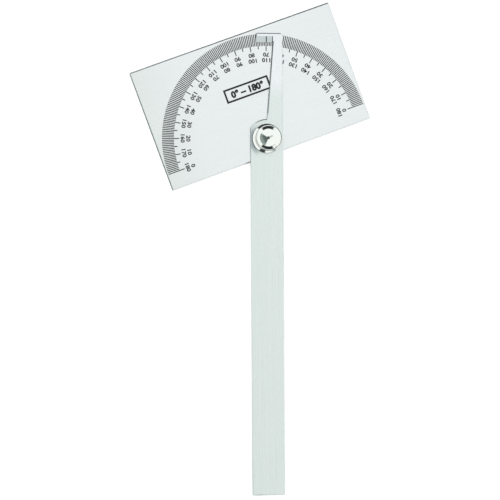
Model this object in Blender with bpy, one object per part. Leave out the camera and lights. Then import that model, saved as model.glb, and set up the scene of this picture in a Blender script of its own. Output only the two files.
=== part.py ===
"""Square-head steel protractor: a rectangular head plate with a pointer arm that swings about a clamped pivot.

Metres, +Z up. The tool lies flat on its back. The origin is on the pivot's axis, in the plane of the
head's back face. The arm points along -Y and its reading foot along +Y. The head is turned so that the
foot reads HEAD_TURN_DEG off square. Every piece is one closed solid with its origin on the pivot's axis.
"""

import math

import bmesh
import bpy
from mathutils import Matrix, Vector

MM = 0.001

# Head plate: the straight-edged body that carries the half-circle scale.
HEAD_LENGTH = 91.0 * MM
HEAD_HEIGHT = 53.0 * MM
HEAD_THICK = 1.0 * MM
HEAD_CORNER_R = 0.5 * MM
PIVOT_ABOVE_BASE = 7.15 * MM  # pivot's axis to the head's long lower edge
HEAD_TURN_DEG = 20.0

# Arm: the long blade, with a tapered neck and a reading foot past the pivot.
ARM_WIDTH = 13.9 * MM
ARM_THICK = 1.0 * MM
ARM_REACH = 152.4 * MM  # pivot's axis to the square end, six inches
ARM_END_R = 0.3 * MM
FOOT_TOP_Y = 45.0 * MM
FOOT_EDGE_Y = 41.0 * MM  # the reading edge that lies across the scale
FOOT_LEFT_X = -4.4 * MM
FOOT_LEFT_R = 0.5 * MM
FOOT_RIGHT_R = 1.2 * MM
BEVEL_START_Y = 43.65 * MM
BEVEL_EDGE_THICK = 0.3 * MM  # what the bevel leaves at the reading edge
NECK_TOP_X = 2.8 * MM  # the neck's slanted side, at the reading edge
NECK_ROOT_X = 0.15 * MM  # and where it meets the shoulder
NECK_FILLET_R = 0.5 * MM
SHOULDER_R = 8.3 * MM  # rounded shoulder about the pivot

# Pivot stud: countersunk into the head's back, a plain shank through the arm, then the threaded end.
STUD_HEAD_R = 3.4 * MM
STUD_CONE_DEPTH = 0.7 * MM
SHANK_R = 2.3 * MM
THREAD_R = 2.08 * MM
THREAD_END_CHAMFER = 0.4 * MM
STUD_TOP_Z = 5.7 * MM

# Washer: stops the turning nut from dragging the arm round. It sits in the nut's underside.
WASHER_R = 4.6 * MM
WASHER_BORE_R = 2.2 * MM
WASHER_THICK = 0.4 * MM

# Thumb nut: a turned button with a sloped flange, a neck, and a rounded rim round a shallow coned dish.
NUT_R = 6.25 * MM
NUT_HEIGHT = 6.0 * MM
NUT_CHAMFER = 0.3 * MM
NUT_FLANGE_EDGE = 0.6 * MM  # height of the flange's straight edge
NUT_NECK_R = 5.2 * MM
NUT_RIM_R = 5.15 * MM  # the rim's crest
NUT_RIM_ROUND_R = 0.3 * MM
NUT_NECK_LEAN_DEG = 3.0  # the neck leans out a little, up to the rim
NUT_SLOPE_TILT_DEG = 33.0  # the flange's top and the slope inside the rim
NUT_DISH_TILT_DEG = 12.0
NUT_DISH_R = 3.7 * MM
NUT_RECESS_R = 4.8 * MM
NUT_RECESS_DEPTH = 0.45 * MM
NUT_BORE_R = 2.15 * MM
NUT_BORE_TOP = 3.5 * MM  # height of the blind bore's end above the nut's base

STACK_GAP = 0.2 * MM  # between pieces that lie on each other
STAKE_GAP = 0.05 * MM  # round the stud's head and shank
ROUND_SIDES = 64
SMOOTH_UNDER_DEG = 35.0
CUTTER_MARGIN = 2.0 * MM

ARM_Z = HEAD_THICK + STACK_GAP
ARM_TOP_Z = ARM_Z + ARM_THICK
WASHER_Z = ARM_TOP_Z + 0.75 * STACK_GAP
NUT_Z = ARM_TOP_Z + 1.5 * STACK_GAP


def clear_scene():
    """Empties the scene."""
    for obj in list(bpy.data.objects):
        bpy.data.objects.remove(obj)


def metal(name, colour, roughness):
    """A bare metal."""
    material = bpy.data.materials.new(name)
    material.use_nodes = True
    shader = material.node_tree.nodes["Principled BSDF"]
    shader.inputs["Base Color"].default_value = (*colour, 1.0)
    shader.inputs["Metallic"].default_value = 1.0
    shader.inputs["Roughness"].default_value = roughness
    return material


def new_object(name, shape, material=None):
    """A mesh object made from a bmesh, with its origin where the bmesh has it."""
    bmesh.ops.recalc_face_normals(shape, faces=shape.faces)
    mesh = bpy.data.meshes.new(name)
    shape.to_mesh(mesh)
    shape.free()
    if material:
        mesh.materials.append(material)
    obj = bpy.data.objects.new(name, mesh)
    bpy.context.scene.collection.objects.link(obj)
    return obj


def arc(centre, radius, start_deg, end_deg, steps):
    """Points on an arc, both ends included."""
    points = []
    for i in range(steps + 1):
        angle = math.radians(start_deg + (end_deg - start_deg) * i / steps)
        points.append((centre[0] + radius * math.cos(angle), centre[1] + radius * math.sin(angle)))
    return points


def rounded(corners, steps=6):
    """An outline with the corners (x, y, radius) rounded. Each arc is tangent to both of its sides."""
    points = []
    for i, (x, y, radius) in enumerate(corners):
        here = Vector((x, y))
        if radius == 0.0:
            points.append((x, y))
            continue
        before = (Vector(corners[i - 1][:2]) - here).normalized()
        after = (Vector(corners[(i + 1) % len(corners)][:2]) - here).normalized()
        half = before.angle(after) / 2
        centre = here + (before + after).normalized() * (radius / math.sin(half))
        first = here + before * (radius / math.tan(half)) - centre
        turn = first.angle_signed(here + after * (radius / math.tan(half)) - centre)
        for k in range(steps + 1):
            spoke = Matrix.Rotation(-turn * k / steps, 2) @ first
            points.append(tuple(centre + spoke))
    return points


def extruded(outline, z, thick):
    """A flat outline given a thickness."""
    shape = bmesh.new()
    face = shape.faces.new([shape.verts.new((x, y, z)) for x, y in outline])
    side = bmesh.ops.extrude_face_region(shape, geom=[face])
    top = [item for item in side["geom"] if isinstance(item, bmesh.types.BMVert)]
    bmesh.ops.translate(shape, verts=top, vec=(0.0, 0.0, thick))
    return shape


def turned(name, profile, material=None):
    """A closed solid of revolution about Z, from a profile of (radius, height) that starts and ends anywhere.

    A point on the axis becomes one vertex, and a profile that stays off the axis closes on itself as a ring.
    """
    shape = bmesh.new()
    rings = []
    for radius, height in profile:
        if radius == 0.0:
            rings.append([shape.verts.new((0.0, 0.0, height))])
            continue
        rings.append([shape.verts.new((x, y, height)) for x, y in arc((0, 0), radius, 0, 360, ROUND_SIDES)[:-1]])
    on_axis = profile[0][0] == 0.0
    pairs = list(zip(rings, rings[1:])) if on_axis else list(zip(rings, rings[1:] + rings[:1]))
    for low, high in pairs:
        for i in range(ROUND_SIDES):
            j = (i + 1) % ROUND_SIDES
            corners = [low[i % len(low)], low[j % len(low)], high[j % len(high)], high[i % len(high)]]
            shape.faces.new(dict.fromkeys(corners))
    obj = new_object(name, shape, material)
    obj.data.shade_smooth()
    obj.data.set_sharp_from_angle(angle=math.radians(SMOOTH_UNDER_DEG))
    return obj


def cut(obj, cutter):
    """Takes the cutter out of the object, and keeps the cutter as a guide that isn't rendered."""
    cutter.hide_render = True
    cutter.display_type = "WIRE"
    boolean = obj.modifiers.new(f"cut_{cutter.name}", "BOOLEAN")
    boolean.operation = "DIFFERENCE"
    boolean.solver = "EXACT"
    boolean.object = cutter


def make_head_plate(material):
    """The rectangular plate, with a countersunk hole for the stud."""
    left, right = -HEAD_LENGTH / 2, HEAD_LENGTH / 2
    bottom, top = -PIVOT_ABOVE_BASE, HEAD_HEIGHT - PIVOT_ABOVE_BASE
    corners = [(x, y, HEAD_CORNER_R) for x, y in ((left, bottom), (right, bottom), (right, top), (left, top))]
    head = new_object("head_plate", extruded(rounded(corners), 0.0, HEAD_THICK), material)
    hole_r, mouth_r = SHANK_R + STAKE_GAP, STUD_HEAD_R + STAKE_GAP
    flare = (mouth_r - hole_r) / STUD_CONE_DEPTH
    profile = [
        (0.0, -CUTTER_MARGIN),
        (mouth_r + flare * CUTTER_MARGIN, -CUTTER_MARGIN),
        (hole_r, STUD_CONE_DEPTH),
        (hole_r, HEAD_THICK + CUTTER_MARGIN),
        (0.0, HEAD_THICK + CUTTER_MARGIN),
    ]
    hole = turned("stud_hole_cutter", profile)
    hole.parent = head
    cut(head, hole)
    head.rotation_euler.z = math.radians(HEAD_TURN_DEG)
    return head


def arm_outline():
    """The arm from its square end up the right side, round the foot, and down the neck and shoulder."""
    half = ARM_WIDTH / 2
    shoulder_end = math.degrees(math.atan2(math.sqrt(SHOULDER_R**2 - half**2), -half))
    shoulder_start = math.degrees(math.acos(NECK_ROOT_X / SHOULDER_R))
    shoulder = arc((0.0, 0.0), SHOULDER_R, shoulder_start, shoulder_end, 8)
    corners = [
        (-half, -ARM_REACH, ARM_END_R),
        (half, -ARM_REACH, ARM_END_R),
        (half, FOOT_TOP_Y, FOOT_RIGHT_R),
        (FOOT_LEFT_X, FOOT_TOP_Y, FOOT_LEFT_R),
        (FOOT_LEFT_X, FOOT_EDGE_Y, 0.0),
        (NECK_TOP_X, FOOT_EDGE_Y, 0.0),
        (*shoulder[0], NECK_FILLET_R),
    ]
    corners += [(x, y, 0.0) for x, y in shoulder[1:]]
    return rounded(corners)


def make_arm(material):
    """The blade, with its pivot hole and the bevel that brings the reading edge down to the scale."""
    arm = new_object("arm", extruded(arm_outline(), ARM_Z, ARM_THICK), material)
    hole_r = SHANK_R + STAKE_GAP
    low, high = ARM_Z - CUTTER_MARGIN, ARM_TOP_Z + CUTTER_MARGIN
    hole = turned("arm_hole_cutter", [(0.0, low), (hole_r, low), (hole_r, high), (0.0, high)])
    hole.parent = arm
    cut(arm, hole)

    edge_z = ARM_Z + BEVEL_EDGE_THICK
    slope = (ARM_TOP_Z - edge_z) / (BEVEL_START_Y - FOOT_EDGE_Y)
    section = [
        (FOOT_EDGE_Y - CUTTER_MARGIN, edge_z - slope * CUTTER_MARGIN),
        (BEVEL_START_Y + CUTTER_MARGIN, ARM_TOP_Z + slope * CUTTER_MARGIN),
        (FOOT_EDGE_Y - CUTTER_MARGIN, ARM_TOP_Z + slope * CUTTER_MARGIN),
    ]
    shape = extruded(section, 0.0, NECK_TOP_X - FOOT_LEFT_X + CUTTER_MARGIN)
    to_foot = Matrix(((0, 0, 1, FOOT_LEFT_X - CUTTER_MARGIN), (1, 0, 0, 0), (0, 1, 0, 0), (0, 0, 0, 1)))
    bmesh.ops.transform(shape, matrix=to_foot, verts=shape.verts)
    bevel = new_object("foot_bevel_cutter", shape)
    bevel.parent = arm
    cut(arm, bevel)
    return arm


def make_pivot_stud(material):
    """The stud: its back is flush with the head's back face, and it stands fixed in the head."""
    profile = [
        (0.0, 0.0),
        (STUD_HEAD_R, 0.0),
        (SHANK_R, STUD_CONE_DEPTH),
        (SHANK_R, ARM_TOP_Z),
        (THREAD_R, ARM_TOP_Z),
        (THREAD_R, STUD_TOP_Z - THREAD_END_CHAMFER),
        (THREAD_R - THREAD_END_CHAMFER, STUD_TOP_Z),
        (0.0, STUD_TOP_Z),
    ]
    stud = turned("pivot_stud", profile, material)
    stud.rotation_euler.z = math.radians(HEAD_TURN_DEG)
    return stud


def make_washer(material):
    """A flat ring under the nut."""
    low, high = WASHER_Z, WASHER_Z + WASHER_THICK
    profile = [(WASHER_BORE_R, low), (WASHER_R, low), (WASHER_R, high), (WASHER_BORE_R, high)]
    return turned("washer", profile, material)


def nut_top(steps):
    """From the flange's edge up its slope and the neck, round the rim, down the slope inside it to the dish."""
    rise = math.tan(math.radians(NUT_SLOPE_TILT_DEG))
    flange = [(NUT_R, NUT_FLANGE_EDGE), (NUT_NECK_R, NUT_FLANGE_EDGE + (NUT_R - NUT_NECK_R) * rise)]
    centre = (NUT_RIM_R, NUT_HEIGHT - NUT_RIM_ROUND_R)
    rim = arc(centre, NUT_RIM_ROUND_R, -NUT_NECK_LEAN_DEG, 90.0 + NUT_SLOPE_TILT_DEG, steps)
    slope_r, slope_z = rim[-1]
    dish_z = slope_z - (slope_r - NUT_DISH_R) * rise
    fall = NUT_DISH_R * math.tan(math.radians(NUT_DISH_TILT_DEG))
    return flange + rim + [(NUT_DISH_R, dish_z), (0.0, dish_z - fall)]


def make_thumb_nut(material):
    """The clamping nut, turned from solid, with a blind threaded bore and a recess for the washer."""
    profile = [(0.0, NUT_BORE_TOP), (NUT_BORE_R, NUT_BORE_TOP), (NUT_BORE_R, NUT_RECESS_DEPTH)]
    profile += [(NUT_RECESS_R, NUT_RECESS_DEPTH), (NUT_RECESS_R, 0.0)]
    profile += [(NUT_R - NUT_CHAMFER, 0.0), (NUT_R, NUT_CHAMFER)]
    profile += nut_top(8)
    return turned("thumb_nut", [(r, NUT_Z + z) for r, z in profile], material)


def main():
    clear_scene()
    brushed = metal("brushed_steel", (0.72, 0.74, 0.73), 0.38)
    arm_steel = metal("arm_steel", (0.70, 0.73, 0.72), 0.35)
    bright = metal("bright_plate", (0.86, 0.87, 0.83), 0.08)
    plain = metal("plain_steel", (0.55, 0.56, 0.56), 0.45)
    make_head_plate(brushed)
    make_arm(arm_steel)
    make_pivot_stud(plain)
    make_washer(plain)
    make_thumb_nut(bright)


main()
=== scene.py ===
# %% [markdown]
# # A square-head steel protractor
#
# A draughtsman or machinist lays the head's long edge on the work and swings the arm to the wanted angle.
# The arm's short foot carries one line that reads against a half circle of degrees cut into the head. A
# turned thumb nut clamps the arm. Everything is thin steel, so the piece lives or dies by its edges, its
# brushing and the fineness of its lines.
#
# The moving parts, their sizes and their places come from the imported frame. This script only gives each
# part its finished surface, and adds the lines and numerals, which are too fine for the CAD model.

import math

import bmesh
import bpy
import numpy as np
from mathutils import Matrix, Vector


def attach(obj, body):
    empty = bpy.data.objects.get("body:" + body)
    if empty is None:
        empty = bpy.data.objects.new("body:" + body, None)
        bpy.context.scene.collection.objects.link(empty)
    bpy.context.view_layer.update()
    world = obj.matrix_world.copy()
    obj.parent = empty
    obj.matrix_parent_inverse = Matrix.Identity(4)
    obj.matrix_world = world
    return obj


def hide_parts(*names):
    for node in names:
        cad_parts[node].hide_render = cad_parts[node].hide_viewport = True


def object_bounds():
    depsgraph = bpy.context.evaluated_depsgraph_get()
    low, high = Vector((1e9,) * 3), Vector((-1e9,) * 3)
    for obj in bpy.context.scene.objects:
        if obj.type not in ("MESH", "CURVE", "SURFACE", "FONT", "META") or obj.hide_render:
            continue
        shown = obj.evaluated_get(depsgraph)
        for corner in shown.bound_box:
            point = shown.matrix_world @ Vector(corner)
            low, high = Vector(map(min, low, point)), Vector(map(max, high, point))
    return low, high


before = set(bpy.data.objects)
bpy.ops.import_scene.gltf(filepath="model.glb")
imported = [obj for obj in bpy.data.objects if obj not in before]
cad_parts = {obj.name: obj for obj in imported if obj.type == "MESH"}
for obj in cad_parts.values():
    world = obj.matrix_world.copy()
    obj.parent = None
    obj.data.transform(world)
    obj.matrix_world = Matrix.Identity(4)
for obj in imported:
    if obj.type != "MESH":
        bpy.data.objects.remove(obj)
cad_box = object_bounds()

MM = 0.001
HEAD_TURN = math.radians(20.0)  # how far the head is turned from square to the arm

# %% [markdown]
# ## Reading the sizes
#
# The head lies turned, so its upright box says little. Turning its vertices back by the same angle first
# gives the true rectangle. The arm and the turned parts are square to the frame, so their boxes are enough.


# %% Sizes from the frame
def turn_flat(points, angle):
    """Points with x and y turned about the pivot: x cos - y sin, and x sin + y cos. Any z is kept."""
    points = np.array(points, float)
    x, y = points[..., 0], points[..., 1]
    c, s = math.cos(angle), math.sin(angle)
    points[..., 0], points[..., 1] = c * x - s * y, s * x + c * y
    return points


def mesh_points(mesh):
    """A mesh's vertices as an array with one row each."""
    points = np.zeros(len(mesh.vertices) * 3)
    mesh.vertices.foreach_get("co", points)
    return points.reshape(-1, 3)


def node_corners(node, angle=0.0):
    """The lowest and highest corner of a CAD node after its vertices are turned back by the angle."""
    points = turn_flat(mesh_points(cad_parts[node].data), -angle)
    return points.min(0), points.max(0)


head_low, head_high = node_corners("head_plate", HEAD_TURN)
arm_low, arm_high = node_corners("arm")
stud_high = node_corners("pivot_stud")[1]
washer_low, washer_high = node_corners("washer")
nut_low, nut_high = node_corners("thumb_nut")
for node, size in (("head", head_high - head_low), ("arm", arm_high - arm_low), ("nut", nut_high - nut_low)):
    print(f"{node}: " + " x ".join(f"{side / MM:.2f}" for side in size) + " mm")

# %% [markdown]
# ## Outlines with rounded corners
#
# The head and the arm are both blanked from sheet, so each starts as a flat outline. A short list of corners
# with a radius each describes it, and every rounded corner is an arc that touches both of its sides.


# %% A rounded outline
def rounded(corners, inset=0.0, steps=8):
    """A closed outline from corners (x, y, radius), anticlockwise, moved inwards by the inset.

    A corner moves against its mitre (n1 + n2) / (1 + n1 . n2), with n1 and n2 the outward normals of its
    sides, so that both sides move by the same amount. An outer corner's radius shrinks by the inset, down to
    zero, and an inner corner's grows. The arc's centre lies on the line that halves the corner, at
    radius / sin(half the corner's angle), and the arc runs between the points where it touches the sides.
    """
    corners = np.asarray(corners, float)
    side = np.roll(corners[:, :2], -1, 0) - corners[:, :2]
    side /= np.linalg.norm(side, axis=1, keepdims=True)
    normal = np.stack([side[:, 1], -side[:, 0]], 1)
    arriving, arriving_normal = np.roll(side, 1, 0), np.roll(normal, 1, 0)
    mitre = (normal + arriving_normal) / (1 + np.sum(normal * arriving_normal, 1, keepdims=True))
    places = corners[:, :2] - inset * mitre
    outer = np.sign(arriving[:, 0] * side[:, 1] - arriving[:, 1] * side[:, 0])
    pieces = []
    for here, back, ahead, radius, turn in zip(places, -arriving, side, corners[:, 2], outer):
        if radius == 0.0:
            pieces.append(here[None])
            continue
        radius = max(radius - turn * inset, 0.0)
        half = math.acos(np.clip(back @ ahead, -1, 1)) / 2
        middle = (back + ahead) / np.linalg.norm(back + ahead)
        centre = here + middle * radius / math.sin(half)
        first, last = (here + towards * radius / math.tan(half) - centre for towards in (back, ahead))
        start = math.atan2(first[1], first[0])
        sweep = (math.atan2(last[1], last[0]) - start + math.pi) % (2 * math.pi) - math.pi
        angles = start + sweep * np.linspace(0, 1, steps + 1)
        pieces.append(centre + radius * np.stack([np.cos(angles), np.sin(angles)], 1))
    return np.concatenate(pieces)


def rectangle(low, high, radius=0.0):
    """The four corners of a rectangle between two opposite corners, anticlockwise."""
    (left, near), (right, far) = low[:2], high[:2]
    return np.array([(x, y, radius) for x, y in ((left, near), (right, near), (right, far), (left, far))])


def circle(radius, sides, clockwise=False):
    """Corners on a circle about the pivot: radius * (cos a, sin a), with a running one turn either way."""
    angles = np.linspace(0, 2 * math.pi, sides, endpoint=False) * (-1 if clockwise else 1)
    return np.stack([radius * np.cos(angles), radius * np.sin(angles), np.zeros(sides)], 1)


# %% [markdown]
# ## Sheet metal with real edges
#
# A finished sheet isn't sharp all round. The upper edge has a narrow chamfer with eased corners, and the
# lower edge a light break with a file. Those narrow bands catch the light as the thin bright and dark lines
# that make a sheet look like steel. A Bevel modifier could do it, but the two edges differ, so the edge is a
# small profile carried round the outline. A hole is the same thing with its outline run clockwise, and the
# two flat faces are filled in last.


# %% Carrying an edge profile round an outline
EDGE_EASE = 0.05 * MM  # how far the chamfer's corners are eased
FLAT_STRIP = 1.3  # where the profile ends on the flat face, in chamfer widths
EASED_SHARE, HELD_SHARE = 0.35, 0.45  # of a short side, the most that is eased and held


def carried(corners, inset, height):
    """Rings of points, one for each step of the profile: the outline at inset k, lifted to height k."""
    rings = [np.insert(rounded(corners, i), 2, z, axis=1) for i, z in zip(inset, height)]
    return np.stack(rings)


def softened(profile, reach, hold=0.02 * MM, steps=4):
    """A profile with its inner corners eased. Each corner C becomes the curve (1-t)^2 A + 2t(1-t) C + t^2 B.

    A and B lie one reach before and after the corner, or under half of a shorter side. One more point is held
    just past each of them, so that the shading of the long faces stays flat right up to the curve.
    """
    profile = np.asarray(profile, float)
    corner = profile[1:-1, None]
    sides = np.stack([profile[:-2] - profile[1:-1], profile[2:] - profile[1:-1]], 1)
    length = np.linalg.norm(sides, axis=2, keepdims=True)
    near = np.minimum(reach, EASED_SHARE * length)
    a, b = np.split(corner + sides / length * near, 2, axis=1)
    held = corner + sides / length * np.minimum(near + hold, HELD_SHARE * length)
    t = np.linspace(0, 1, steps)[None, :, None]
    curve = (1 - t) ** 2 * a + 2 * t * (1 - t) * corner + t**2 * b
    eased = np.concatenate([held[:, :1], curve, held[:, 1:]], 1)
    return np.concatenate([profile[:1], eased.reshape(-1, 2), profile[-1:]])


def chamfered_edge(low, high, width, tilt_deg, file_break):
    """The edge from bottom to top as insets and heights: a file break, a straight side, a wide eased chamfer.

    The chamfer runs inwards by its width and falls by width * tan(tilt).
    """
    drop = width * math.tan(math.radians(tilt_deg))
    corners = [
        (file_break, low),
        (0.0, low + file_break),
        (0.0, high - drop),
        (width, high),
        (FLAT_STRIP * width, high),
    ]
    return softened(corners, EDGE_EASE).T


def grid_faces(rows, columns, first=0):
    """Quads that join a grid's neighbouring rows, with every row closed on itself."""
    row, column = np.meshgrid(np.arange(rows - 1), np.arange(columns), indexing="ij")
    after = (column + 1) % columns
    below, above_it = row * columns, (row + 1) * columns
    corners = [below + column, below + after, above_it + after, above_it + column]
    return first + np.stack(corners, -1).reshape(-1, 4)


# %% From arrays to a mesh object
MERGE_DISTANCE = 1e-8


def new_piece(name, points, faces, smooth=True):
    """A mesh object at the origin from an array of points and an array or a list of faces."""
    mesh = bpy.data.meshes.new(name)
    mesh.from_pydata(points.tolist(), [], faces if isinstance(faces, list) else faces.tolist())
    mesh.polygons.foreach_set("use_smooth", np.full(len(mesh.polygons), smooth))
    piece = bpy.data.objects.new(name, mesh)
    bpy.context.scene.collection.objects.link(piece)
    return piece


def tidy_mesh(piece, fill_levels=()):
    """Merges doubles, fills the flat face inside the open edges at each level, and turns faces outwards."""
    shape = bmesh.new()
    shape.from_mesh(piece.data)
    bmesh.ops.remove_doubles(shape, verts=shape.verts, dist=MERGE_DISTANCE)
    for level in fill_levels:
        rim = [
            edge
            for edge in shape.edges
            if edge.is_boundary and all(abs(end.co.z - level) < MERGE_DISTANCE for end in edge.verts)
        ]
        filled = bmesh.ops.triangle_fill(shape, edges=rim, use_beauty=True)
        for item in filled["geom"]:
            if isinstance(item, bmesh.types.BMFace):
                item.smooth = False
    bmesh.ops.recalc_face_normals(shape, faces=shape.faces)
    open_edges = sum(not edge.is_manifold for edge in shape.edges)
    shape.to_mesh(piece.data)
    shape.free()
    triangles = sum(len(face.vertices) - 2 for face in piece.data.polygons)
    print(f"{piece.name}: {triangles} triangles, {open_edges} open edges")
    return piece


def sheet(name, loops):
    """A flat sheet from closed loops, each corners with the insets and heights. The first is the outside."""
    points, faces, first = [], [], 0
    for corners, inset, height in loops:
        rings = carried(corners, inset, height)
        points.append(rings.reshape(-1, 3))
        faces.append(grid_faces(rings.shape[0], rings.shape[1], first))
        first += rings.shape[0] * rings.shape[1]
    levels = (loops[0][2][0], loops[0][2][-1])
    return tidy_mesh(new_piece(name, np.concatenate(points), np.concatenate(faces)), levels)


# %% [markdown]
# ## The head
#
# The head is a plain rectangle with corners hardly eased, because its long edge is the working edge. The
# hole for the pivot is countersunk from the back, where the stud's flat head fills it.

# %% The head's sheet
HEAD_CORNER = 0.5 * MM
HEAD_CHAMFER = 0.5 * MM
CHAMFER_TILT = 38.0  # degrees from level
FILE_BREAK = 0.05 * MM
SHANK_HOLE = 2.35 * MM
STUD_MOUTH = 3.45 * MM
COUNTERSINK = 0.7 * MM  # depth of the cone
HOLE_SIDES = 96

head_bottom, head_top = head_low[2], head_high[2]
head_corners = rectangle(head_low, head_high, HEAD_CORNER)
head_edge = chamfered_edge(head_bottom, head_top, HEAD_CHAMFER, CHAMFER_TILT, FILE_BREAK)
countersink = np.array([STUD_MOUTH, SHANK_HOLE, SHANK_HOLE]) - SHANK_HOLE
countersink_height = np.array([head_bottom, head_bottom + COUNTERSINK, head_top])
head_hole = (circle(SHANK_HOLE, HOLE_SIDES, clockwise=True), countersink, countersink_height)
head_sheet = sheet("head_sheet", [(turn_flat(head_corners, HEAD_TURN), *head_edge), head_hole])

# %% [markdown]
# ## The arm
#
# The blade is parallel up to the pivot. Past it, the left side is cut away in a rounded shoulder and a
# slanted neck, so that the scale stays in sight, and the neck ends in a foot that points left. The foot's
# reading edge is milled down to a bevel, so its line lies close to the degrees. The outline is six corners
# and one arc about the pivot. The bevel is cut with a Boolean, since a straight milling cut is what it is.

# %% The arm's outline
ARM_END = 0.3 * MM
ARM_CHAMFER = 0.38 * MM
FOOT_EDGE = 41.0 * MM  # the reading edge, from the pivot
FOOT_LEFT = -4.4 * MM
FOOT_LEFT_CORNER = 0.5 * MM
FOOT_RIGHT_CORNER = 1.2 * MM
NECK_TOP = 2.8 * MM  # the slanted side's place where it meets the foot
NECK_ROOT = 0.15 * MM  # and where it meets the shoulder
NECK_FILLET = 0.5 * MM
SHOULDER = 8.3 * MM  # radius of the rounded shoulder
SHOULDER_POINTS = 19

arm_bottom, arm_top = arm_low[2], arm_high[2]
shoulder_end = math.atan2(math.sqrt(SHOULDER**2 - arm_low[0] ** 2), arm_low[0])
shoulder_angles = np.linspace(math.acos(NECK_ROOT / SHOULDER), shoulder_end, SHOULDER_POINTS)
shoulder = SHOULDER * np.stack([np.cos(shoulder_angles), np.sin(shoulder_angles)], 1)
arm_corners = [
    (arm_low[0], arm_low[1], ARM_END),
    (arm_high[0], arm_low[1], ARM_END),
    (arm_high[0], arm_high[1], FOOT_RIGHT_CORNER),
    (FOOT_LEFT, arm_high[1], FOOT_LEFT_CORNER),
    (FOOT_LEFT, FOOT_EDGE, 0.0),
    (NECK_TOP, FOOT_EDGE, 0.0),
    (*shoulder[0], NECK_FILLET),
] + [(x, y, 0.0) for x, y in shoulder[1:]]
print(f"arm outline: {len(rounded(arm_corners))} points")

# %% The arm's sheet and its bevel
BEVEL_START = 43.65 * MM  # where the milling cut leaves the top face
BEVEL_EDGE = 0.3 * MM  # what it leaves at the reading edge
MARGIN = 1.0 * MM

bevel_slope = (arm_top - arm_bottom - BEVEL_EDGE) / (BEVEL_START - FOOT_EDGE)
blade_hole = (circle(SHANK_HOLE, HOLE_SIDES, clockwise=True), np.zeros(2), np.array([arm_bottom, arm_top]))
blade_edge = chamfered_edge(arm_bottom, arm_top, ARM_CHAMFER, CHAMFER_TILT, FILE_BREAK)
arm_blade = sheet("arm_blade", [(arm_corners, *blade_edge), blade_hole])


def milling_wedge():
    """A wedge over the foot: its underside is the plane z = edge + slope * (y - reading edge)."""
    near, far = FOOT_EDGE - MARGIN, BEVEL_START + MARGIN
    deepest, highest = arm_bottom + BEVEL_EDGE - bevel_slope * MARGIN, arm_top + bevel_slope * MARGIN
    section = np.array([(near, deepest), (far, highest), (near, highest)])
    ends = [np.insert(section, 0, x, axis=1) for x in (FOOT_LEFT - MARGIN, NECK_TOP)]
    faces = [*grid_faces(2, 3).tolist(), [0, 1, 2], [3, 4, 5]]
    return tidy_mesh(new_piece("milling_wedge", np.concatenate(ends), faces, smooth=False))


def cut_away(piece, cutter):
    """Takes the cutter out of the piece for good, and removes the cutter."""
    boolean = piece.modifiers.new("cut", "BOOLEAN")
    boolean.operation, boolean.solver, boolean.object = "DIFFERENCE", "EXACT", cutter
    shaped = bpy.data.meshes.new_from_object(piece.evaluated_get(bpy.context.evaluated_depsgraph_get()))
    piece.modifiers.remove(boolean)
    shaped.name = piece.name
    piece.data = shaped
    bpy.data.objects.remove(cutter)
    print(f"{piece.name} after the cut: {len(shaped.polygons)} faces")


cut_away(arm_blade, milling_wedge())

# %% [markdown]
# ## Turned parts
#
# The nut, the washer and the stud come off a lathe. Each is a profile of radius and height swung round the
# pivot's axis. A grid of angle by profile step gives every point at once, and where the profile starts or
# ends on the axis the ring shrinks to one point when doubles are merged.


# %% Swinging a profile round the axis
def arc_points(centre, radius, start_deg, end_deg, steps):
    """Profile points on an arc: the centre plus radius * (cos a, sin a)."""
    a = np.radians(np.linspace(start_deg, end_deg, steps))
    return np.stack([centre[0] + radius * np.cos(a), centre[1] + radius * np.sin(a)], 1)


def swung(name, profile, sides, closed=False, radius_of=None):
    """A turned solid: point (k, j) is (r cos a, r sin a, z), with (r, z) row k and a = 2 pi j / sides.

    radius_of, if given, changes r as a function of (r, z, a): that is how a thread gets onto a plain shank.
    A closed profile joins its last row to its first, as on a ring.
    """
    if closed:
        profile = np.concatenate([profile, profile[:1]])
    a = np.linspace(0, 2 * math.pi, sides, endpoint=False)[None, :]
    r, z = profile[:, :1], profile[:, 1:]
    r = np.broadcast_to(r, (len(profile), sides)) if radius_of is None else radius_of(r, z, a)
    grid = np.stack([r * np.cos(a), r * np.sin(a), np.broadcast_to(z, r.shape)], -1)
    return tidy_mesh(new_piece(name, grid.reshape(-1, 3), grid_faces(len(profile), sides)))


# %% [markdown]
# ## The thumb nut
#
# The nut is turned from bar and plated bright. From the arm up, it has a chamfer, a flange with a sloping
# top, a short neck, a rounded rim, a slope inside it and a shallow coned dish with the pip that the lathe's
# parting tool leaves. The bright plate mirrors the room, so the slopes decide where the light and dark rings
# fall. Underneath, a recess hides the washer round a blind threaded bore.

# %% The nut's profile
NUT_CHAMFER = 0.3 * MM
FLANGE_EDGE = 0.6 * MM  # height of the flange's straight edge
NECK_RADIUS = 5.2 * MM
RIM_RADIUS = 5.15 * MM  # the rim's crest
RIM_ROUND = 0.32 * MM
RIM_STEPS = 12
FLANGE_TILT = 28.0  # degrees from level, of the flange's top
SLOPE_TILT = 33.0  # and of the slope inside the rim
DISH_RIM_TILT, DISH_MIDDLE_TILT = 14.0, 10.0  # the dish is steeper at its rim than in the middle
DISH_RADIUS = 3.75 * MM
DISH_STEPS = 7
PIP_RADIUS = 0.6 * MM
PIP_FLOOR = 0.6 * PIP_RADIUS
PIP_DEPTH = 0.18 * MM
RECESS_RADIUS = 4.8 * MM
RECESS_DEPTH = 0.45 * MM
BORE_RADIUS = 2.15 * MM
BORE_TOP = 3.5 * MM
NUT_EASE = 0.07 * MM
NUT_SIDES = 192


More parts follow.
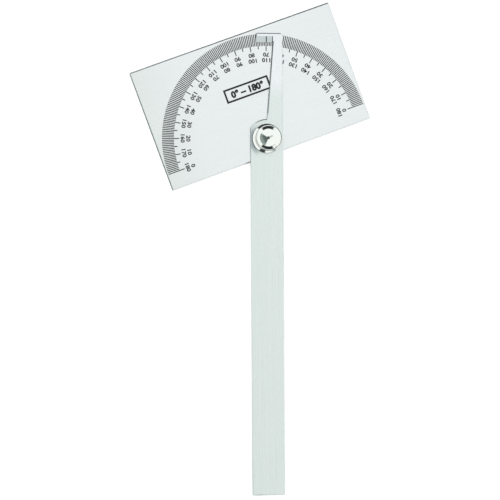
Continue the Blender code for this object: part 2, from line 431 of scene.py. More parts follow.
def nut_profile():
    """Radius and height from the blind bore's end, out under the nut, up its side and in over the dish."""
    height, radius = nut_high[2] - nut_low[2], nut_high[0]
    under = [
        (0.0, BORE_TOP),
        (BORE_RADIUS, BORE_TOP),
        (BORE_RADIUS, RECESS_DEPTH),
        (RECESS_RADIUS, RECESS_DEPTH),
        (RECESS_RADIUS, 0.0),
        (radius - NUT_CHAMFER, 0.0),
        (radius, NUT_CHAMFER),
        (radius, FLANGE_EDGE),
        (NECK_RADIUS, FLANGE_EDGE + (radius - NECK_RADIUS) * math.tan(math.radians(FLANGE_TILT))),
    ]
    rim = arc_points((RIM_RADIUS, height - RIM_ROUND), RIM_ROUND, 0, 90 + SLOPE_TILT, RIM_STEPS)
    slope_r, slope_z = rim[-1]
    dish_z = slope_z - (slope_r - DISH_RADIUS) * math.tan(math.radians(SLOPE_TILT))
    dish_r = np.linspace(DISH_RADIUS, PIP_RADIUS, DISH_STEPS)
    tilt = np.radians(np.linspace(DISH_RIM_TILT, DISH_MIDDLE_TILT, DISH_STEPS - 1))
    drops = np.concatenate([[0.0], np.cumsum((dish_r[:-1] - dish_r[1:]) * np.tan(tilt))])
    dish = np.stack([dish_r, dish_z - drops], 1)
    pip_z = dish[-1, 1] - PIP_DEPTH
    pip = [(PIP_FLOOR, pip_z), (0.0, pip_z)]
    return softened(np.concatenate([under, rim, dish, pip]), NUT_EASE) + (0.0, nut_low[2])


nut_button = swung("nut_button", nut_profile(), NUT_SIDES)

# %% [markdown]
# ## The washer and the stud
#
# The washer sits in the nut's recess, and stops the turning nut from dragging the arm round. The stud has a
# flat head flush with the back of the tool, a plain shank and a fine thread. The thread is real geometry: a
# helix is only a radius that depends on height and angle together, so a wave of (height / pitch - angle / one
# turn) does it, with the wave's height fading out at both ends of the thread.

# %% The washer and the stud
WASHER_BORE = 2.2 * MM
WASHER_EASE = 0.06 * MM
WASHER_SEAM = 0.98  # where the closed profile ends, as a share of where it starts
STUD_EASE = 0.03 * MM
STUD_HEAD = 3.4 * MM
SHANK = 2.3 * MM
THREAD = 2.08 * MM
THREAD_PITCH = 0.79375 * MM
THREAD_DEPTH = 0.4 * MM
THREAD_FLAT = 0.25  # how much of the wave is cut flat at the crest and at the root
THREAD_CHAMFER = 0.4 * MM
THREAD_ROWS = 90

washer_bottom, washer_top, washer_radius = washer_low[2], washer_high[2], washer_high[0]
washer_middle = (WASHER_BORE + washer_radius) / 2
washer_corners = [
    (washer_middle, washer_bottom),
    (washer_radius, washer_bottom),
    (washer_radius, washer_top),
    (WASHER_BORE, washer_top),
    (WASHER_BORE, washer_bottom),
    (WASHER_SEAM * washer_middle, washer_bottom),
]
washer_ring = swung("washer_ring", softened(washer_corners, WASHER_EASE), NUT_SIDES // 2, closed=True)


def threaded(r, z, a):
    """The radius less a triangle wave along the helix, only between the shank and the chamfered end."""
    turns = z / THREAD_PITCH - a / (2 * math.pi)
    wave = np.clip((1 + 2 * THREAD_FLAT) * np.abs(2 * (turns % 1.0) - 1) - THREAD_FLAT, 0, 1)
    start = np.clip((z - arm_top) / THREAD_PITCH, 0, 1)
    end = np.clip((stud_high[2] - z) / THREAD_CHAMFER, 0, 1)
    return r - THREAD_DEPTH * wave * start * end * (r > 0.5 * THREAD)


def stud_profile():
    """From the middle of the flat head, up the cone and the shank, then the thread's many rows."""
    z = np.linspace(arm_top, stud_high[2] - THREAD_CHAMFER, THREAD_ROWS)
    thread = np.stack([np.full(THREAD_ROWS, THREAD), z], 1)
    low = [(0.0, 0.0), (STUD_HEAD, 0.0), (SHANK, COUNTERSINK), (SHANK, arm_top), (THREAD, arm_top)]
    end = np.array([(THREAD - THREAD_CHAMFER, stud_high[2]), (0.0, stud_high[2])])
    return np.concatenate([softened(low, STUD_EASE)[:-1], thread, end])


stud_with_thread = swung("stud_with_thread", stud_profile(), NUT_SIDES // 2, radius_of=threaded)

# %% [markdown]
# ## The degree lines
#
# The scale is etched and filled with black. Every degree has a line, every fifth reaches further in, and
# every tenth further still. Each line is one thin bar that stands a hundredth of a millimetre off the steel.
# All the bars of one kind are a single array: the eight corners of a bar, scaled and turned to each angle.

# %% Bars on a circle
INK_SUNK = 0.004 * MM
INK_PROUD = 0.012 * MM
INK_HEIGHT = INK_PROUD + INK_SUNK
LINE_WIDTH = 0.4 * MM
SCALE_OUTER = 44.7 * MM
DEGREE_INNER = 39.6 * MM
FIVE_INNER = 38.25 * MM
TEN_INNER = 37.4 * MM

BAR = np.array([(u, v, w) for w in (0, 1) for u, v in ((0, -1), (1, -1), (1, 1), (0, 1))], float)
BAR_FACES = np.array([(0, 3, 2, 1), (4, 5, 6, 7), (0, 1, 5, 4), (1, 2, 6, 5), (2, 3, 7, 6), (3, 0, 4, 7)])


def scale_lines(name, degrees, inner, outer):
    """One bar for each angle: corner (u, v, w) lies inner + u * length out and v * half a width across."""
    along = inner + BAR[:, 0] * (outer - inner)
    across = BAR[:, 1] * LINE_WIDTH / 2
    height = head_top - INK_SUNK + BAR[:, 2] * INK_HEIGHT
    a = np.radians(degrees)[:, None] + HEAD_TURN
    x = along * np.cos(a) - across * np.sin(a)
    y = along * np.sin(a) + across * np.cos(a)
    points = np.stack([x, y, np.broadcast_to(height, x.shape)], -1).reshape(-1, 3)
    faces = (BAR_FACES[None] + 8 * np.arange(len(degrees))[:, None, None]).reshape(-1, 4)
    print(f"{name}: {len(degrees)} lines")
    return new_piece(name, points, faces, smooth=False)


all_degrees = np.arange(0, 181)
tens = all_degrees[all_degrees % 10 == 0]
fives = all_degrees[all_degrees % 10 == 5]
ones = all_degrees[all_degrees % 5 != 0]
degree_lines = scale_lines("degree_lines", ones, DEGREE_INNER, SCALE_OUTER)
five_degree_lines = scale_lines("five_degree_lines", fives, FIVE_INNER, SCALE_OUTER)
ten_degree_lines = scale_lines("ten_degree_lines", tens, TEN_INNER, SCALE_OUTER)

# %% [markdown]
# ## The numerals
#
# Two rows of numerals run opposite ways, so that an angle can be read from either end. Blender's own text
# object draws the digits. It is turned into a mesh before it is placed, so the finished piece sits at the
# origin, and the digits of a whole row are then joined as arrays.


# %% Numerals as meshes
def lettering(words, height, weight):
    """The points and faces of a short text, centred on zero, with digits of the given height.

    The weight fattens the strokes outwards, as a share of the letter size.
    """
    curve = bpy.data.curves.new("lettering", "FONT")
    curve.body = words
    curve.align_x, curve.align_y = "CENTER", "BOTTOM_BASELINE"
    curve.resolution_u = 3
    curve.extrude = 0.5
    curve.offset = weight
    holder = bpy.data.objects.new("lettering", curve)
    bpy.context.scene.collection.objects.link(holder)
    mesh = bpy.data.meshes.new_from_object(holder.evaluated_get(bpy.context.evaluated_depsgraph_get()))
    points, faces = mesh_points(mesh), [tuple(face.vertices) for face in mesh.polygons]
    bpy.data.objects.remove(holder)
    bpy.data.curves.remove(curve)
    bpy.data.meshes.remove(mesh)
    middle = (points.min(0) + points.max(0)) / 2
    size = height / (points[:, 1].max() - points[:, 1].min())
    return (points - middle) * (size, size, 1.0), faces


def stamp(name, labels):
    """One piece from labels (points, faces, x, y, turn): each is turned, moved and set on the head's face."""
    all_points, all_faces, first = [], [], 0
    for points, faces, x, y, turn in labels:
        placed = turn_flat(points, turn) + (x, y, 0.0)
        placed[:, 2] = head_top - INK_SUNK + (placed[:, 2] + 0.5) * INK_HEIGHT
        all_points.append(turn_flat(placed, HEAD_TURN))
        all_faces += [tuple(first + i for i in face) for face in faces]
        first += len(points)
    return tidy_mesh(new_piece(name, np.concatenate(all_points), all_faces, smooth=False))


# %% Two rows of numerals
NUMERAL_HEIGHT = 1.85 * MM
NUMERAL_WIDEN = 1.12
NUMERAL_WEIGHT = 0.036
OUTER_ROW = 35.9 * MM  # radius to the middle of the digits
INNER_ROW = 33.5 * MM


def numeral_row(name, radius, value_at):
    """Numerals at every tenth degree, with the tops of the digits towards the pivot."""
    labels = []
    for degree in tens:
        points, faces = lettering(str(value_at(int(degree))), NUMERAL_HEIGHT, NUMERAL_WEIGHT)
        a = math.radians(degree)
        x, y = radius * math.cos(a), radius * math.sin(a)
        labels.append((points * (NUMERAL_WIDEN, 1.0, 1.0), faces, x, y, a + math.pi / 2))
    return stamp(name, labels)


outer_numerals = numeral_row("outer_numerals", OUTER_ROW, lambda degree: degree)
inner_numerals = numeral_row("inner_numerals", INNER_ROW, lambda degree: 180 - degree)

# %% [markdown]
# ## The range mark
#
# The middle of the head carries a plain label with the scale's range in a thin square-cornered frame. It is
# generic: it names no maker.

# %% The range label and its frame
LABEL_HEIGHT = 3.3 * MM
LABEL_WEIGHT = 0.06
FRAME_LINE = 0.8 * MM
frame_low, frame_high = np.array([-10.6, 19.5]) * MM, np.array([9.6, 25.5]) * MM


def square_frame(name):
    """A thin rectangular frame: an outer and an inner rectangle, each at two heights, closed as a tube."""
    outer = rectangle(frame_low, frame_high)
    inset = np.array([0.0, 0.0, FRAME_LINE, FRAME_LINE, 0.0])
    low, high = head_top - INK_SUNK, head_top + INK_PROUD
    rings = carried(turn_flat(outer, HEAD_TURN), inset, np.array([low, high, high, low, low]))
    faces = grid_faces(len(inset), len(outer))
    return tidy_mesh(new_piece(name, rings.reshape(-1, 3), faces, smooth=False))


range_frame = square_frame("range_frame")
label_middle = (frame_low + frame_high) / 2
label_points, label_faces = lettering("0° – 180°", LABEL_HEIGHT, LABEL_WEIGHT)
range_label = stamp("range_label", [(label_points, label_faces, *label_middle, 0.0)])

# %% [markdown]
# ## The reading line
#
# One black line on the foot's bevel points at the angle. It follows the bevel's slope from the reading edge
# to just short of where the bevel ends.

# %% The reading line on the bevel
READING_WIDTH = 0.42 * MM
READING_NEAR, READING_FAR = 0.05 * MM, 0.15 * MM  # what is left free at the line's two ends
near_y, far_y = FOOT_EDGE + READING_NEAR, BEVEL_START - READING_FAR
line_y = near_y + BAR[:, 0] * (far_y - near_y)
line_z = arm_bottom + BEVEL_EDGE + bevel_slope * (line_y - FOOT_EDGE) - INK_SUNK + BAR[:, 2] * INK_HEIGHT
reading_points = np.stack([-BAR[:, 1] * READING_WIDTH / 2, line_y, line_z], 1)
reading_line = tidy_mesh(new_piece("reading_line", reading_points, BAR_FACES, smooth=False))

# %% [markdown]
# ## Writing finishes as sums
#
# A finish is a network of nodes. Written node by node it is long and hard to read, so a socket is wrapped in
# a small class. Adding or multiplying two wrapped sockets makes the Math node, and one method makes any
# other node from its type, its settings and what goes into it.


# %% A wrapped socket
def feed(node, values):
    """Puts constants or wires into a node's sockets."""
    for key, value in values.items():
        if isinstance(value, Wire):
            value.tree.links.new(value.socket, node.inputs[key])
        else:
            node.inputs[key].default_value = value


class Wire:
    """A socket in a node tree. Sums of wires, or of wires and numbers, add Math nodes."""

    def __init__(self, tree, socket=None):
        self.tree, self.socket = tree, socket

    def node(self, kind, settings=None, values=None, out=0):
        """Adds a node: settings first, then values or wires for its sockets. Gives the named output."""
        made = self.tree.nodes.new(kind)
        for key, setting in (settings or {}).items():
            setattr(made, key, setting)
        feed(made, values or {})
        return Wire(self.tree, made.outputs[out])

    def _math(self, operation, a, b):
        return self.node("ShaderNodeMath", {"operation": operation}, {0: a, 1: b})

    def __add__(self, other):
        return self._math("ADD", self, other)

    def __sub__(self, other):
        return self._math("SUBTRACT", self, other)

    def __mul__(self, other):
        return self._math("MULTIPLY", self, other)

    def __truediv__(self, other):
        return self._math("DIVIDE", self, other)

    def __radd__(self, other):
        return self._math("ADD", other, self)

    def __rsub__(self, other):
        return self._math("SUBTRACT", other, self)

    def step(self, low, high):
        """Rises smoothly from 0 at low to 1 at high."""
        settings = {"interpolation_type": "SMOOTHSTEP"}
        return self.node("ShaderNodeMapRange", settings, {"Value": self, "From Min": low, "From Max": high})

    def mix(self, first, second):
        """A colour between the first, where this is 0, and the second, where it is 1."""
        settings = {"data_type": "RGBA"}
        return self.node("ShaderNodeMix", settings, {0: self, 6: first, 7: second}, out=2)


def new_finish(name):
    """A material with a Principled shader, as (material, shader, wire to start from)."""
    material = bpy.data.materials.new(name)
    material.use_nodes = True
    return material, material.node_tree.nodes["Principled BSDF"], Wire(material.node_tree)


# %% [markdown]
# ## Brushed steel
#
# Both sheets were drawn lengthwise through an abrasive belt, which leaves long fine scratches. Noise that is
# stretched along the piece makes them: a Mapping node of the Texture kind divides by the length and the
# width of one scratch, and turns with the head. The fine noise roughens the surface, the broad one gives the
# faint streaks seen from arm's length, and a slow patchy one stands for handling.
#
# Where the surface leans tells one kind of steel from another. The flat faces are brushed, the chamfers
# burnished, the sheared sides dark and rough, and the foot's bevel milled.


# %% Places on a piece
def own_place(wire):
    """The point in the object's own coordinates, in metres."""
    return wire.node("ShaderNodeTexCoord", out="Object")


def measured(wire, axis):
    """The object's own x, y or z in millimetres."""
    return wire.node("ShaderNodeSeparateXYZ", {}, {0: own_place(wire)}, out=axis) / MM


def from_axis(wire):
    """The distance from the pivot's axis in metres: the length of (x, y, 0)."""
    flattened = {0: own_place(wire), 1: (1.0, 1.0, 0.0)}
    flat = wire.node("ShaderNodeVectorMath", {"operation": "MULTIPLY"}, flattened)
    return wire.node("ShaderNodeVectorMath", {"operation": "LENGTH"}, {0: flat}, out="Value")


def leaning(wire, axis):
    """The x, y or z of the surface's normal."""
    normal = wire.node("ShaderNodeTexCoord", out="Normal")
    return wire.node("ShaderNodeSeparateXYZ", {}, {0: normal}, out=axis)


def steepness(wire):
    """How upright the surface stands, 1 - z z: 0 on a flat face, (sin 38)^2 on a chamfer, 1 on a side."""
    up = leaning(wire, "Z")
    return 1 - up * up


# %% Noise stretched into scratches
FINE_SCRATCH = (9.0 * MM, 0.11 * MM)  # length and width
BROAD_STREAK = (45.0 * MM, 0.6 * MM)
HANDLED_PATCH = (34.0 * MM, 16.0 * MM)
SCRATCH_DEPTH = 0.012 * MM
SCRATCH_BUMP = 0.35
FINE_TONE, BROAD_TONE, PATCH_TONE = 0.55, 1.1, 0.6  # how much each noise moves the tone
FINE_ROUGH, BROAD_ROUGH, PATCH_ROUGH = 0.12, 0.10, 0.05  # and the roughness
TONE_RANGE = (-0.2, 1.2)
SIDE_STEEP, CHAMFER_STEEP = (0.6, 0.9), (0.15, 0.3)  # the steepness where each kind starts and is complete
SIDE_ROUGHER, CHAMFER_SMOOTHER = 0.12, 0.14


def scratches(wire, turn, length, width, detail=2.0):
    """Noise from 0 to 1 with features of the given length along the piece and the given width across it."""
    values = {"Vector": own_place(wire), "Rotation": (0.0, 0.0, turn), "Scale": (length, width, width)}
    stretched = wire.node("ShaderNodeMapping", {"vector_type": "TEXTURE"}, values)
    return wire.node("ShaderNodeTexNoise", {}, {"Vector": stretched, "Scale": 1.0, "Detail": detail})


def brushed(name, turn, dark, light, roughness, streak=1.0):
    """Steel brushed along the piece. Each noise, less its middle value of a half, moves tone and roughness.

    The sheared sides were never brushed, so they are darker and rougher. The chamfers were burnished with a
    fine stone, so they are smoother and mirror the room crisply. It gives the material, its shader, a wire,
    the colour of the faces and where the sides are.
    """
    material, shader, wire = new_finish(name)
    fine = scratches(wire, turn, *FINE_SCRATCH)
    broad = scratches(wire, turn, *BROAD_STREAK, detail=3.0)
    patches = scratches(wire, turn, *HANDLED_PATCH)
    tone = (fine - 0.5) * (FINE_TONE * streak) + (broad - 0.5) * (BROAD_TONE * streak)
    tone = (tone + (patches - 0.5) * PATCH_TONE + 0.5).step(*TONE_RANGE)
    steep = steepness(wire)
    side = steep.step(*SIDE_STEEP)
    burnished = steep.step(*CHAMFER_STEEP) - side
    rough = roughness + (broad - 0.5) * BROAD_ROUGH + (fine - 0.5) * FINE_ROUGH
    rough = rough + (patches - 0.5) * PATCH_ROUGH + side * SIDE_ROUGHER - burnished * CHAMFER_SMOOTHER
    relief = {"Strength": SCRATCH_BUMP, "Distance": SCRATCH_DEPTH, "Height": fine}
    bump = wire.node("ShaderNodeBump", {}, relief)
    feed(shader, {"Metallic": 1.0, "Roughness": rough, "Normal": bump})
    return material, shader, wire, tone.mix((*dark, 1.0), (*light, 1.0)), side


# %% The head's finish
HEAD_DARK, HEAD_LIGHT = (0.540, 0.564, 0.560), (0.594, 0.610, 0.613)
HEAD_ROUGHNESS = 0.30
SIDE_TONE = (0.26, 0.27, 0.27, 1.0)
LEFT_END_SHADE_TONE = (0.535, 0.562, 0.552, 1.0)  # painted shade: the head's left end a little darker, standing in for a dimmer reflection there
LEFT_END_SHADE_ALONG = (-22.0, -48.0)  # millimetres along the head, where it starts and is complete

head_finish, head_shader, head_wire, head_face, head_side = brushed(
    "brushed_head_steel", HEAD_TURN, HEAD_DARK, HEAD_LIGHT, HEAD_ROUGHNESS
)
head_x, head_y = measured(head_wire, "X"), measured(head_wire, "Y")
# Painted shade, darker towards the head's left end.
left_end_shade_mask = (head_x * math.cos(HEAD_TURN) + head_y * math.sin(HEAD_TURN)).step(*LEFT_END_SHADE_ALONG)
feed(head_shader, {"Base Color": head_side.mix(left_end_shade_mask.mix(head_face, LEFT_END_SHADE_TONE), SIDE_TONE)})

# %% The arm's finish
ARM_DARK, ARM_LIGHT = (0.455, 0.502, 0.487), (0.522, 0.559, 0.545)
ARM_ROUGHNESS = 0.27
ARM_STREAK = 1.3
# Each tone is followed by where it starts and is complete: in millimetres from the pivot along the arm,
# across it or straight out, or as a part of the normal.
# Painted highlight: the neck is painted lighter than the blade, standing in for the brighter reflection it
# catches.
NECK_PAINTED_HIGHLIGHT = (0.565, 0.580, 0.588, 1.0)
NECK_HIGHLIGHT_ALONG = (16.0, 26.0)
MILLED_TONE = (0.40, 0.44, 0.44, 1.0)
MILLED_ALONG = (40.0, 40.5)
MILLED_LEAN, MILLED_LEAN_END = (-0.1, -0.2), (-0.4, -0.3)
BEVEL_CREASE_SHADE = (0.06, 0.064, 0.066, 1.0)  # painted shade: a dark crease along the bevel's end, next to the neck's wall
CREASE_SHADE_FROM_END = (0.35, 0.25)
LEFT_EDGE_SHADE = (0.20, 0.21, 0.215, 1.0)  # painted shade: the left edges of the neck and the foot, darkened as if in the gap's shadow
EDGE_SHADE_LEAN, EDGE_SHADE_ALONG = (-0.3, -0.45), (9.0, 12.0)
NUT_SHADOW_TONE = (0.24, 0.28, 0.285, 1.0)  # painted shadow of the nut on the arm, to the nut's left
NUT_SHADOW_OUT, NUT_SHADOW_ACROSS, NUT_SHADOW_ALONG = (9.0, 6.6), (-2.5, -5.6), (7.0, 2.0)
GAP_SHADE_SIDE = (0.03, 0.032, 0.033, 1.0)  # painted shade: near-black sides where the arm lies over the head, for the shadowed gap between them
GAP_SHADE_ALONG = (-14.0, -10.0)

arm_finish, arm_shader, arm_wire, arm_face, arm_side = brushed(
    "brushed_arm_steel", math.pi / 2, ARM_DARK, ARM_LIGHT, ARM_ROUGHNESS, streak=ARM_STREAK
)
along_arm, across_arm = measured(arm_wire, "Y"), measured(arm_wire, "X")
normal_x, normal_y = leaning(arm_wire, "X"), leaning(arm_wire, "Y")
milled = normal_y.step(*MILLED_LEAN) * normal_y.step(*MILLED_LEAN_END) * along_arm.step(*MILLED_ALONG)
# Painted shade in the crease along the bevel's end, next to the neck.
corner = milled * across_arm.step(*(NECK_TOP / MM - short for short in CREASE_SHADE_FROM_END))
# Painted shade on the left-facing edges of the neck and the foot.
edge_shade_mask = normal_x.step(*EDGE_SHADE_LEAN) * along_arm.step(*EDGE_SHADE_ALONG)
from_pivot = from_axis(arm_wire) / MM
# Painted shadow: a crescent on the arm just left of the nut.
nut_shadow_mask = from_pivot.step(*NUT_SHADOW_OUT) * across_arm.step(*NUT_SHADOW_ACROSS) * along_arm.step(*NUT_SHADOW_ALONG)
# The neck's painted highlight first.
arm_tone = along_arm.step(*NECK_HIGHLIGHT_ALONG).mix(arm_face, NECK_PAINTED_HIGHLIGHT)
# Over it: the milled bevel, then painted shade in the bevel's crease, on the left edges, as the nut's shadow
# and on the sides over the head.
for where, tone in (
    (milled, MILLED_TONE),
    (corner, BEVEL_CREASE_SHADE),
    (edge_shade_mask, LEFT_EDGE_SHADE),
    (nut_shadow_mask, NUT_SHADOW_TONE),
    # The sides: the sheared tone, with painted shade where the arm lies over the head.
    (arm_side, along_arm.step(*GAP_SHADE_ALONG).mix(SIDE_TONE, GAP_SHADE_SIDE)),
):
    arm_tone = where.mix(arm_tone, tone)
feed(arm_shader, {"Base Color": arm_tone})
print("steel finishes:", head_finish.name, arm_finish.name)

# %% [markdown]
# ## Bright plate, plain steel and black fill
#
# The nut's plate is almost a mirror, with a warm nickel cast. What keeps it from looking perfect is the
# turning: fine rings about the axis, made from noise that reads only the distance from the axis. The stud
# and the washer are plain steel with the same rings, coarser. Painted shade darkens the plate on the
# flange's edge, the neck, the rim's outer round and the pip. The black fill is matt and a little uneven.

# %% Turned metals
TURNED_TONE = 0.8  # how much each noise moves the tone
SMUDGE_SCALE = 420.0  # to the metre
SMUDGED = (0.4, 0.9)  # the part of the noise that counts as a smudge
SMUDGE_ROUGHER = 0.6  # a share of the roughness
RING_BUMP = 0.3


def turned_finish(name, dark, light, roughness, ring_width, ring_depth):
    """Metal with lathe rings: noise of the distance from the axis over the ring width, with some smudges."""
    material, shader, wire = new_finish(name)
    ring_place = {"W": from_axis(wire) / ring_width, "Scale": 1.0, "Detail": 2.0}
    rings = wire.node("ShaderNodeTexNoise", {"noise_dimensions": "1D"}, ring_place)
    smudge_place = {"Vector": own_place(wire), "Scale": SMUDGE_SCALE, "Detail": 3.0}
    smudges = wire.node("ShaderNodeTexNoise", {}, smudge_place)
    tone = ((rings - 0.5) * TURNED_TONE + (smudges - 0.5) * TURNED_TONE + 0.5).step(0.0, 1.0)
    rough = roughness + smudges.step(*SMUDGED) * (SMUDGE_ROUGHER * roughness)
    relief = {"Strength": RING_BUMP, "Distance": ring_depth, "Height": rings}
    bump = wire.node("ShaderNodeBump", {}, relief)
    colour = tone.mix((*dark, 1.0), (*light, 1.0))
    feed(shader, {"Base Color": colour, "Metallic": 1.0, "Roughness": rough, "Normal": bump})
    return material


# %% Painted shade on the nut's sides
# Painted shade on the nut: near black on the flange's edge and the rim band, grey on the neck, near black in
# the pip.
EDGE_RIM_PAINTED_SHADE = (0.05, 0.055, 0.045, 1.0)
NECK_PAINTED_SHADE = (0.30, 0.31, 0.29, 1.0)
PIP_PAINTED_SHADE = (0.06, 0.07, 0.065, 1.0)
# Where each starts and is complete, in millimetres unless said otherwise.
SIDES_STEEP = (0.34, 0.42)  # steepness, about (sin 36)^2 to (sin 40)^2
OVER_EDGE = 0.05  # above the flange's straight edge
NECK_OUT = (4.9, 5.0)  # from the axis
RIM_OUT, RIM_DOWN = (0.03, 0.09), (0.45, 0.35)  # outside the crest, and below the top
RIM_SHADE_LEAN = (-0.5, 0.5)  # the cosine of the angle from +x, over which the rim's painted shade rises from the -x side to the +x side
RIM_SHADE_LEFT = 0.3  # how much of the rim's painted shade is left on the -x side
PIP_OUT = (0.8, 1.3)  # shares of the pip's radius


def dull_the_sides(material):
    """Mixes painted shade over the polished colour, by steepness, height and distance from the axis.

    The flange's edge and the neck are the steep sides at their heights. The rim is a narrow band round the
    top, with its painted shade full on the +x side and at 0.3 of that on the -x side, and the pip is a small
    disc.
    """
    wire = Wire(material.node_tree)
    shader = material.node_tree.nodes["Principled BSDF"]
    polished = Wire(material.node_tree, shader.inputs["Base Color"].links[0].from_socket)
    radius, x, z = from_axis(wire) / MM, measured(wire, "X"), measured(wire, "Z")
    steep = steepness(wire).step(*SIDES_STEEP)
    edge_top = (nut_low[2] + FLANGE_EDGE) / MM
    over_flange = z.step(edge_top, edge_top + OVER_EDGE)
    neck = steep * over_flange * radius.step(*NECK_OUT)
    rim = radius.step(*(RIM_RADIUS / MM + out for out in RIM_OUT))
    rim = rim * z.step(*(nut_high[2] / MM - down for down in RIM_DOWN))
    rim = rim * ((x / radius).step(*RIM_SHADE_LEAN) * (1 - RIM_SHADE_LEFT) + RIM_SHADE_LEFT)
    pip = 1 - radius.step(*(PIP_RADIUS / MM * share for share in PIP_OUT))
    # Painted shade: the flange's edge and the neck first, then the rim band and the pip.
    colour = (steep * (1 - over_flange)).mix(neck.mix(polished, NECK_PAINTED_SHADE), EDGE_RIM_PAINTED_SHADE)
    feed(shader, {"Base Color": pip.mix(rim.mix(colour, EDGE_RIM_PAINTED_SHADE), PIP_PAINTED_SHADE)})


# %% The nickel and the plain steel
NICKEL_DARK, NICKEL_LIGHT = (0.58, 0.60, 0.57), (0.64, 0.66, 0.63)
PLAIN_DARK, PLAIN_LIGHT = (0.45, 0.46, 0.46), (0.62, 0.63, 0.63)
NICKEL_TURNING = {"roughness": 0.07, "ring_width": 0.09 * MM, "ring_depth": 0.002 * MM}
PLAIN_TURNING = {"roughness": 0.32, "ring_width": 0.18 * MM, "ring_depth": 0.02 * MM}

nickel = turned_finish("bright_nickel_plate", NICKEL_DARK, NICKEL_LIGHT, **NICKEL_TURNING)
dull_the_sides(nickel)
plain_steel = turned_finish("plain_turned_steel", PLAIN_DARK, PLAIN_LIGHT, **PLAIN_TURNING)

# %% The black fill
INK_DARK, INK_WORN = (0.008, 0.009, 0.010, 1.0), (0.03, 0.032, 0.034, 1.0)
INK_GRAIN = 2600.0  # to the metre
INK_WEAR = (0.35, 0.75)  # the part of the noise that counts as worn
INK_ROUGHNESS, INK_ROUGHNESS_SPREAD = 0.45, 0.3
INK_GLOSS = 0.25

black_fill, ink_shader, ink_wire = new_finish("black_line_fill")
grain_place = {"Vector": own_place(ink_wire), "Scale": INK_GRAIN, "Detail": 3.0}
ink_noise = ink_wire.node("ShaderNodeTexNoise", {}, grain_place)
ink_tone = ink_noise.step(*INK_WEAR).mix(INK_DARK, INK_WORN)
ink_rough = ink_noise * INK_ROUGHNESS_SPREAD + INK_ROUGHNESS
feed(ink_shader, {"Base Color": ink_tone, "Roughness": ink_rough, "Specular IOR Level": INK_GLOSS})
print("fills and turned metals:", nickel.name, plain_steel.name, black_fill.name)

# %% [markdown]
# ## Putting the pieces on the frame
#
# Each piece gets its finish, the body that it moves with and the part of the frame that it stands for.


# %% Riding on the bodies
def fit(piece, finish, body, slot, *nodes):
    """Finishes a piece and hands it to its body. The nodes are the plain CAD parts that it replaces."""
    piece.data.materials.clear()
    piece.data.materials.append(finish)
    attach(piece, body)
    if nodes:
        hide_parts(*nodes)


fit(head_sheet, head_finish, "head", "head_steel", "head_plate")
fit(arm_blade, arm_finish, "arm", "arm_steel", "arm")
fit(nut_button, nickel, "nut", "bright_nickel", "thumb_nut")
fit(washer_ring, plain_steel, "nut_lift", "plain_steel", "washer")
fit(stud_with_thread, plain_steel, "head", "plain_steel", "pivot_stud")
scale_marks = [degree_lines, five_degree_lines, ten_degree_lines, outer_numerals, inner_numerals]
for marking in (*scale_marks, range_frame, range_label):
    fit(marking, black_fill, "head", "black_fill")
fit(reading_line, black_fill, "arm", "black_fill")

# %% [markdown]
# ## Floor and light
#
# Polished steel shows its surroundings, so the room is part of the finish. The floor is a white table that
# glows slightly, so it stays white. The room is a white tent: bright overhead, bright at both sides, with an
# opening at the far end and one at the near end that look dark in anything curved. A grey stand on the left
# and a narrow gap in the roof on the right are two more patches, and a roof lamp is a patch that is brighter
# than the rest. The camera looks in through a small dim hole. All of it is a formula of the direction: each
# patch is a sector round the horizon between two elevations.

# %% The floor
FLOOR_HALF = 4.0
FLOOR_DROP = 0.02 * MM
FLOOR_TONE, FLOOR_ROUGHNESS, FLOOR_GLOW = (0.9, 0.9, 0.9, 1.0), 0.9, 0.3

floor_points = FLOOR_HALF * np.array([(-1, -1, 0), (1, -1, 0), (1, 1, 0), (-1, 1, 0)], float)
floor_points[:, 2] = cad_box[0].z - FLOOR_DROP
floor = new_piece("table_top", floor_points, np.array([(0, 1, 2, 3)]), smooth=False)
floor_finish, floor_shader, _ = new_finish("white_table")
feed(floor_shader, {"Base Color": FLOOR_TONE, "Roughness": FLOOR_ROUGHNESS, "Specular IOR Level": 0.0})
feed(floor_shader, {"Emission Color": (1.0, 1.0, 1.0, 1.0), "Emission Strength": FLOOR_GLOW})
floor.data.materials.append(floor_finish)

# %% The white tent
TENT_LIGHT = 1.5
# Patches of the tent: middle and half width round from +x, lowest and highest elevation, how soft the sides
# and the top are, all in degrees, and how dark the patch is. A lamp is a patch with a negative darkness.
PATCHES = {
    "far_opening_low": (88.0, 32.0, 3.0, 13.0, 4.0, 0.97),
    "far_opening_middle": (75.0, 29.0, 13.0, 27.0, 4.0, 0.97),
    "far_opening_high": (92.0, 31.0, 27.0, 52.0, 5.0, 0.97),
    "near_opening_low": (282.0, 34.0, 19.0, 33.0, 3.0, 0.97),
    "near_opening_high": (255.0, 14.0, 33.0, 52.0, 4.0, 0.95),
    "left_stand": (207.0, 18.0, 9.0, 25.0, 4.0, 0.80),
    "roof_gap": (19.0, 37.0, 42.0, 67.5, 3.0, 0.65),
    "roof_gap_core": (22.0, 34.0, 57.5, 67.5, 3.0, 0.60),
    "roof_lamp": (30.0, 45.0, 69.0, 82.0, 4.0, -0.25),
}
PATCH_FOOT = 1.5  # how soft a patch's lower edge is, in degrees
ZENITH_GUARD = 1e-6  # keeps the level part above zero straight up
TENT_CLOTH = (0.985, 1.0, 1.0, 1.0)
COOL_SHADE = (0.80, 1.0, 0.97, 1.0)  # the colour of what shows through the openings
CLOTH_RANGE = (0.1, 0.9)  # the openness where the cloth's colour starts and is complete
CAMERA_HOLE = 0.6  # how dark the hole is that the camera looks through
CAMERA_HOLE_HALF = 6.0  # degrees
CAMERA_HOLE_EDGE = (1.4, 0.6)  # where its edge starts and ends, as shares of that
CAMERA_SEEN_AT = (207.0, 82.0)  # round from +x, and elevation

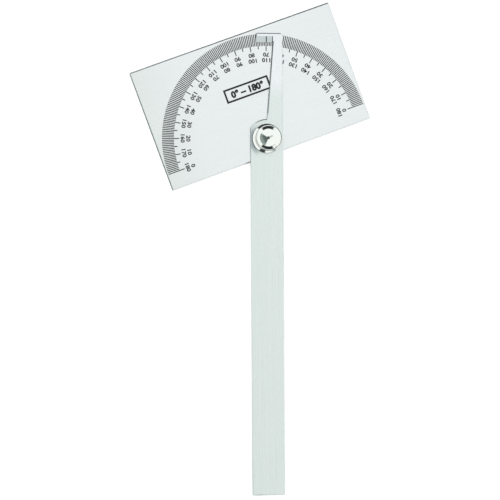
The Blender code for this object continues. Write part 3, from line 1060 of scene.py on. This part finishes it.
world = bpy.data.worlds.new("white_tent")
world.use_nodes = True
bpy.context.scene.world = world
sky = Wire(world.node_tree)
direction = sky.node("ShaderNodeTexCoord", out="Generated")
sky_x, sky_y, sky_z = (sky.node("ShaderNodeSeparateXYZ", {}, {0: direction}, out=axis) for axis in "XYZ")
level_squared = sky_x * sky_x + sky_y * sky_y + ZENITH_GUARD
level = sky.node("ShaderNodeMath", {"operation": "SQRT"}, {0: level_squared})


def sector(middle, half, blur):
    """1 inside a sector round the horizon and 0 outside it, from the cosine of the angle to its middle."""
    a = math.radians(middle)
    towards = (sky_x * math.cos(a) + sky_y * math.sin(a)) / level
    return towards.step(math.cos(math.radians(half + blur)), math.cos(math.radians(half - blur)))


def above(elevation, blur):
    """1 above an elevation and 0 below it, from the height of the direction."""
    return sky_z.step(math.sin(math.radians(elevation - blur)), math.sin(math.radians(elevation + blur)))


hole_round, hole_up = (math.radians(angle) for angle in CAMERA_SEEN_AT)
hole_x, hole_y = math.cos(hole_up) * math.cos(hole_round), math.cos(hole_up) * math.sin(hole_round)
towards_hole = sky_x * hole_x + sky_y * hole_y + sky_z * math.sin(hole_up)
hole_edge = (math.cos(math.radians(CAMERA_HOLE_HALF * share)) for share in CAMERA_HOLE_EDGE)
openness = 1 - towards_hole.step(*hole_edge) * CAMERA_HOLE
for middle, half, lowest, highest, soft, dark in PATCHES.values():
    band = above(lowest, PATCH_FOOT) - above(highest, soft)
    openness = openness * (1 - band * sector(middle, half, soft) * dark)
background = world.node_tree.nodes["Background"]
world.node_tree.links.new((openness * TENT_LIGHT).socket, background.inputs["Strength"])
tent_colour = openness.step(*CLOTH_RANGE).mix(COOL_SHADE, TENT_CLOTH)
world.node_tree.links.new(tent_colour.socket, background.inputs["Color"])
bpy.context.scene.view_settings.view_transform = "Standard"
print("tent patches:", sorted(PATCHES))

# %% [markdown]
# ## The camera
#
# The tool is seen from almost straight above, through a long lens that leans a little to the left.

# %% The camera
CAMERA_TARGET = Vector((-7.3, -47.5, 0.0)) * MM
CAMERA_DISTANCE = 641.2 * MM
CAMERA_LEAN = math.radians(6.88)  # away from straight above
CAMERA_LEAN_TOWARDS = math.radians(176.0)  # round from +x
CAMERA_ROLL = math.radians(0.335)
CAMERA_LENS = 108.0
SENSOR_WIDTH = 36.0
CLIP_NEAR, CLIP_FAR = 0.01, 20.0

back = Vector((math.cos(CAMERA_LEAN_TOWARDS), math.sin(CAMERA_LEAN_TOWARDS), 0.0)) * math.sin(CAMERA_LEAN)
back.z = math.cos(CAMERA_LEAN)
right = Vector((math.sin(CAMERA_ROLL), math.cos(CAMERA_ROLL), 0.0)).cross(back).normalized()
up = back.cross(right)
camera_data = bpy.data.cameras.new("camera")
camera_data.lens, camera_data.sensor_width = CAMERA_LENS, SENSOR_WIDTH
camera_data.clip_start, camera_data.clip_end = CLIP_NEAR, CLIP_FAR
camera = bpy.data.objects.new("camera", camera_data)
bpy.context.scene.collection.objects.link(camera)
camera_turn = Matrix((right, up, back)).transposed().to_4x4()
camera.matrix_world = Matrix.Translation(CAMERA_TARGET + back * CAMERA_DISTANCE) @ camera_turn
bpy.context.scene.camera = camera
print("camera at", tuple(round(v / MM, 1) for v in camera.matrix_world.translation), "mm")
